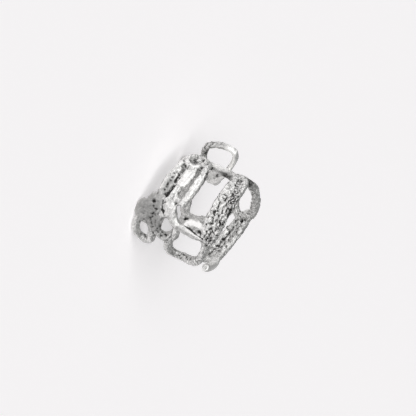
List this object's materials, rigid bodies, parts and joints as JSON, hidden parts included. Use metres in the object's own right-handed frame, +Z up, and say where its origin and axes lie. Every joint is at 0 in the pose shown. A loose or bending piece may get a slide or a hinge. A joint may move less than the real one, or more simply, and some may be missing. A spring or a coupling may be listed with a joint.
{
  "type": "openwork finger ring",
  "caption": "Wide openwork silver ring of long irregular links run together round the finger, one link standing off the band.",
  "frame": {"origin": "centre of the finger hole on the surface that the ring stands on", "axes": "+Z up along the finger's axis, -Y towards the front of the band with the widest link, the raised link stands out towards -X"},
  "size_m": [0.0252, 0.0212, 0.0189],
  "materials": {
    "silver": "cast silver with a hammered, crumpled skin, darker in the folds and polished bright on the raised edges and corners"
  },
  "bodies": {
    "root": {"ring": "silver"}
  },
  "joints": []
}
